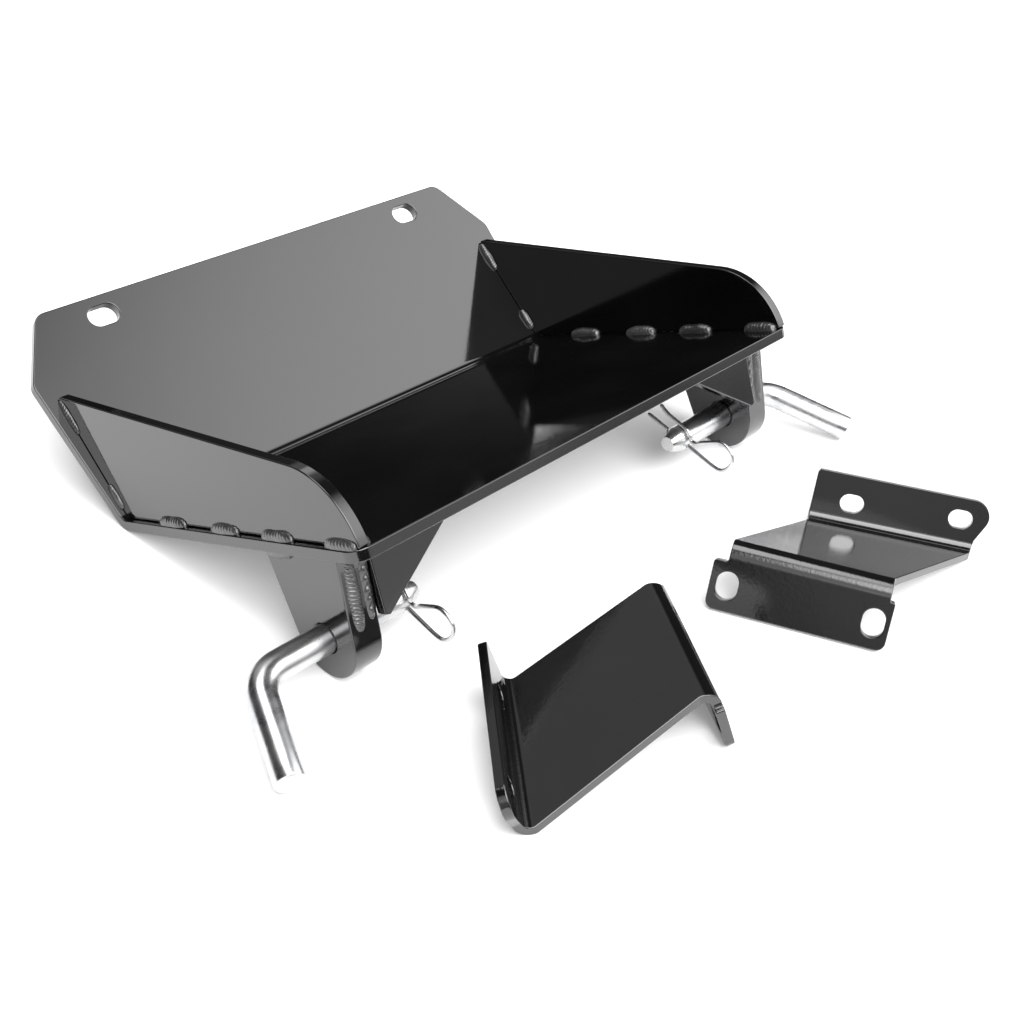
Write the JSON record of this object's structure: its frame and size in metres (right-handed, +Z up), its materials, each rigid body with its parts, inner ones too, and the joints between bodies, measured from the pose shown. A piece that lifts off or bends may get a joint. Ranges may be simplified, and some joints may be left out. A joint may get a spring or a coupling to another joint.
{
  "type": "atv plow mount",
  "caption": "Bent-plate mount for an ATV snow plow: welded side gussets and pin lugs, bent hitch pins held by hairpins, and loose Z-shaped frame brackets.",
  "frame": {"origin": "middle of the kit's footprint, on the ground it lies on", "axes": "+X along the mount plate's bend, from the left side to the right as seen from the open front of the shelf; -Y is the open front, where the pins' handles and the loose brackets lie; +Z up"},
  "size_m": [0.4834, 0.4558, 0.1108],
  "materials": {
    "powder_coat": "glossy black powder coat with a slight orange peel",
    "weld_bead": "rippled weld beads under the same black powder coat, a little duller",
    "zinc_plate": "bright zinc-plated round steel bar",
    "spring_wire": "bright zinc-plated spring wire"
  },
  "bodies": {
    "mount": {"mount_plate": "powder_coat", "left_side_gusset": "powder_coat", "left_pin_lug": "powder_coat", "left_lug_gusset": "powder_coat", "left_lug_front_weld": "weld_bead", "left_lug_gusset_weld": "weld_bead", "left_lug_shelf_weld": "weld_bead", "left_outer_shelf_weld_1": "weld_bead", "left_outer_shelf_weld_2": "weld_bead", "left_outer_shelf_weld_3": "weld_bead", "left_outer_shelf_weld_4": "weld_bead", "left_inner_shelf_weld_1": "weld_bead", "left_inner_shelf_weld_2": "weld_bead", "left_inner_shelf_weld_3": "weld_bead", "left_inner_shelf_weld_4": "weld_bead", "left_outer_panel_weld_1": "weld_bead", "left_outer_panel_weld_2": "weld_bead", "left_inner_panel_weld_1": "weld_bead", "left_inner_panel_weld_2": "weld_bead", "right_side_gusset": "powder_coat", "right_pin_lug": "powder_coat", "right_lug_gusset": "powder_coat", "right_lug_front_weld": "weld_bead", "right_lug_gusset_weld": "weld_bead", "right_lug_shelf_weld": "weld_bead", "right_outer_shelf_weld_1": "weld_bead", "right_outer_shelf_weld_2": "weld_bead", "right_outer_shelf_weld_3": "weld_bead", "right_outer_shelf_weld_4": "weld_bead", "right_inner_shelf_weld_1": "weld_bead", "right_inner_shelf_weld_2": "weld_bead", "right_inner_shelf_weld_3": "weld_bead", "right_inner_shelf_weld_4": "weld_bead", "right_outer_panel_weld_1": "weld_bead", "right_outer_panel_weld_2": "weld_bead", "right_inner_panel_weld_1": "weld_bead", "right_inner_panel_weld_2": "weld_bead"},
    "left_pin": {"left_hitch_pin": "zinc_plate"},
    "left_clip": {"left_hairpin": "spring_wire"},
    "right_pin": {"right_hitch_pin": "zinc_plate"},
    "right_clip": {"right_hairpin": "spring_wire"},
    "left_bracket": {"left_frame_bracket": "powder_coat"},
    "right_bracket": {"right_frame_bracket": "powder_coat"}
  },
  "joints": [
    {"name": "left_pin_slide", "type": "slide", "parent": "mount", "child": "left_pin", "axis": [-1, 0, 0], "range_m": [-0.0295, 0.0289]},
    {"name": "left_clip_slide", "type": "slide", "parent": "left_pin", "child": "left_clip", "axis": [0, -0.9685, -0.2491], "range_m": [0, 0.018]},
    {"name": "right_pin_slide", "type": "slide", "parent": "mount", "child": "right_pin", "axis": [1, 0, 0], "range_m": [-0.0158, 0.0427]},
    {"name": "right_clip_slide", "type": "slide", "parent": "right_pin", "child": "right_clip", "axis": [0, -0.9685, -0.2491], "range_m": [0, 0.036]},
    {"name": "left_bracket_lift", "type": "slide", "parent": "mount", "child": "left_bracket", "axis": [0, 0, 1], "range_m": [0, 0.12]},
    {"name": "right_bracket_lift", "type": "slide", "parent": "mount", "child": "right_bracket", "axis": [0, 0, 1], "range_m": [0, 0.12]}
  ]
}
